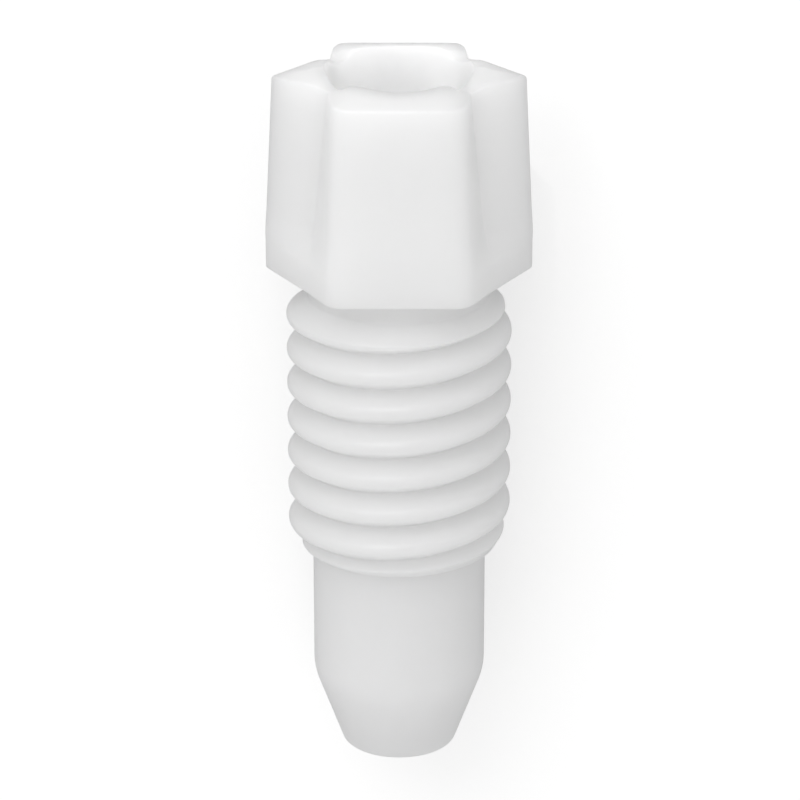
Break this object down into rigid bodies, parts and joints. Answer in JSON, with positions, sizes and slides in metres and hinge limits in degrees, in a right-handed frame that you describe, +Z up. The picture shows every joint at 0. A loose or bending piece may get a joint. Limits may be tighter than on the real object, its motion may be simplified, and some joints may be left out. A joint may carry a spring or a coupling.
{
  "type": "fingertight tubing fitting",
  "caption": "Small natural-polymer male fitting with a grooved hexagonal finger head, an outside thread, a coned nose and a through bore for thin tubing.",
  "frame": {"origin": "centre of the bounding box in X and Y, at the bench the fitting lies on", "axes": "+Y along the fitting's axis from the coned tip to the head, leaning up by half a degree; +Z up, the way the head's front flat faces; +X to the right seen from above with the head away"},
  "size_m": [0.0058, 0.0156, 0.005],
  "materials": {
    "natural_polymer": "satin moulded natural polymer, slightly translucent"
  },
  "bodies": {
    "root": {"fitting_body": "natural_polymer"}
  },
  "joints": []
}
